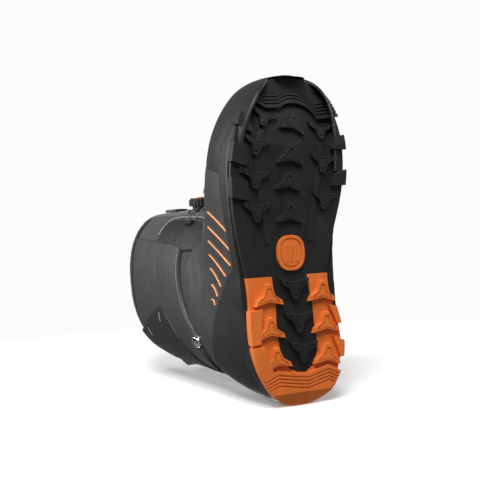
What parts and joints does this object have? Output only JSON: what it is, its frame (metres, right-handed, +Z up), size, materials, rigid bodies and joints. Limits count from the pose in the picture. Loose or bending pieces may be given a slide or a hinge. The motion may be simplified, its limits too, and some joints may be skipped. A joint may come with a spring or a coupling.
{
  "type": "snowboard boot",
  "caption": "Right snowboard boot with lugged two-colour tread, overlaid shaft panels, dial-and-cable closure, hinged tongue and removable liner.",
  "frame": {"origin": "middle of the sole's footprint on the ground plane under the tread blocks", "axes": "+Z up the shaft, -Y towards the toe, -X towards the outer (lateral) side of this right boot"},
  "size_m": [0.1238, 0.3128, 0.3107],
  "materials": {
    "black_rubber": "moulded matt",
    "orange_rubber": "moulded satin",
    "grey_rubber": "moulded satin",
    "charcoal_rubber": "moulded satin",
    "foam": "cellular foam",
    "board": "pressed fibre",
    "dark_textile": "woven",
    "liner_foam": "moulded foam",
    "liner_textile": "brushed knit",
    "grey_leather": "smooth synthetic leather",
    "charcoal_leather": "grained synthetic leather",
    "peach_piping": "satin film",
    "light_trim": "satin film",
    "bright_metal": "polished",
    "webbing": "woven webbing",
    "hard_plastic": "fine grained",
    "dial_rubber": "knurled",
    "orange_plastic": "satin",
    "guide_plastic": "satin",
    "steel_lace": "coated steel strand"
  },
  "bodies": {
    "boot": {"outsole": "black_rubber", "heel_pad": "orange_rubber", "sole_badge": "orange_rubber", "midsole": "foam", "rand": "grey_rubber", "shank_plate": "hard_plastic", "lasting_board": "board", "upper_shell": "dark_textile", "collar_binding": "dark_textile", "toe_cap": "charcoal_leather", "heel_counter": "charcoal_rubber", "quarter_lateral": "grey_leather", "quarter_medial": "grey_leather", "cuff_lateral": "grey_leather", "cuff_medial": "grey_leather", "wing_lateral": "charcoal_leather", "wing_medial": "charcoal_leather", "stripes_lateral": "peach_piping", "stripes_medial": "peach_piping", "back_stay": "charcoal_leather", "slot_trims": "light_trim", "ankle_rings": "bright_metal", "liner_boot": "liner_foam", "liner_collar": "liner_textile", "liner_tongue": "liner_textile", "footbed": "foam", "cable_guides": "guide_plastic", "lace_cable": "steel_lace", "loop_anchor": "webbing"},
    "tongue": {"tongue_shell": "dark_textile", "tongue_pad": "liner_foam", "tongue_pull": "webbing", "dial_base": "hard_plastic", "ratchet_ring": "hard_plastic", "stop_ring": "bright_metal"},
    "spool": {"spool": "hard_plastic", "lace_winding": "steel_lace"},
    "release": {"release_bush": "hard_plastic"},
    "dial": {"dial_knob": "dial_rubber", "knob_cap": "orange_plastic", "pawl_disc": "hard_plastic"},
    "pull_loop": {"rear_pull_loop": "webbing"}
  },
  "joints": [
    {"name": "tongue_open", "type": "hinge", "parent": "boot", "child": "tongue", "pos_m": [0.00108, -0.07111, 0.11], "axis": [1, 0, 0], "range_deg": [0, 18], "deforming": ["lace_cable"]},
    {"name": "spool_turn", "type": "hinge", "parent": "tongue", "child": "spool", "pos_m": [0.00108, -0.03143, 0.198], "axis": [0, -1, 0], "continuous": true},
    {"name": "dial_pull", "type": "slide", "parent": "tongue", "child": "release", "axis": [0, -1, 0], "range_m": [0, 0.0025]},
    {"name": "dial_turn", "type": "hinge", "parent": "release", "child": "dial", "pos_m": [0.00108, -0.03143, 0.198], "axis": [0, -1, 0], "continuous": true},
    {"name": "pull_loop_lift", "type": "hinge", "parent": "boot", "child": "pull_loop", "pos_m": [0.00108, 0.13618, 0.278], "axis": [1, 0, 0], "range_deg": [0, 60]}
  ],
  "couplings": [
    {"joint": "spool_turn", "follows": "dial_turn", "ratio": 1}
  ]
}
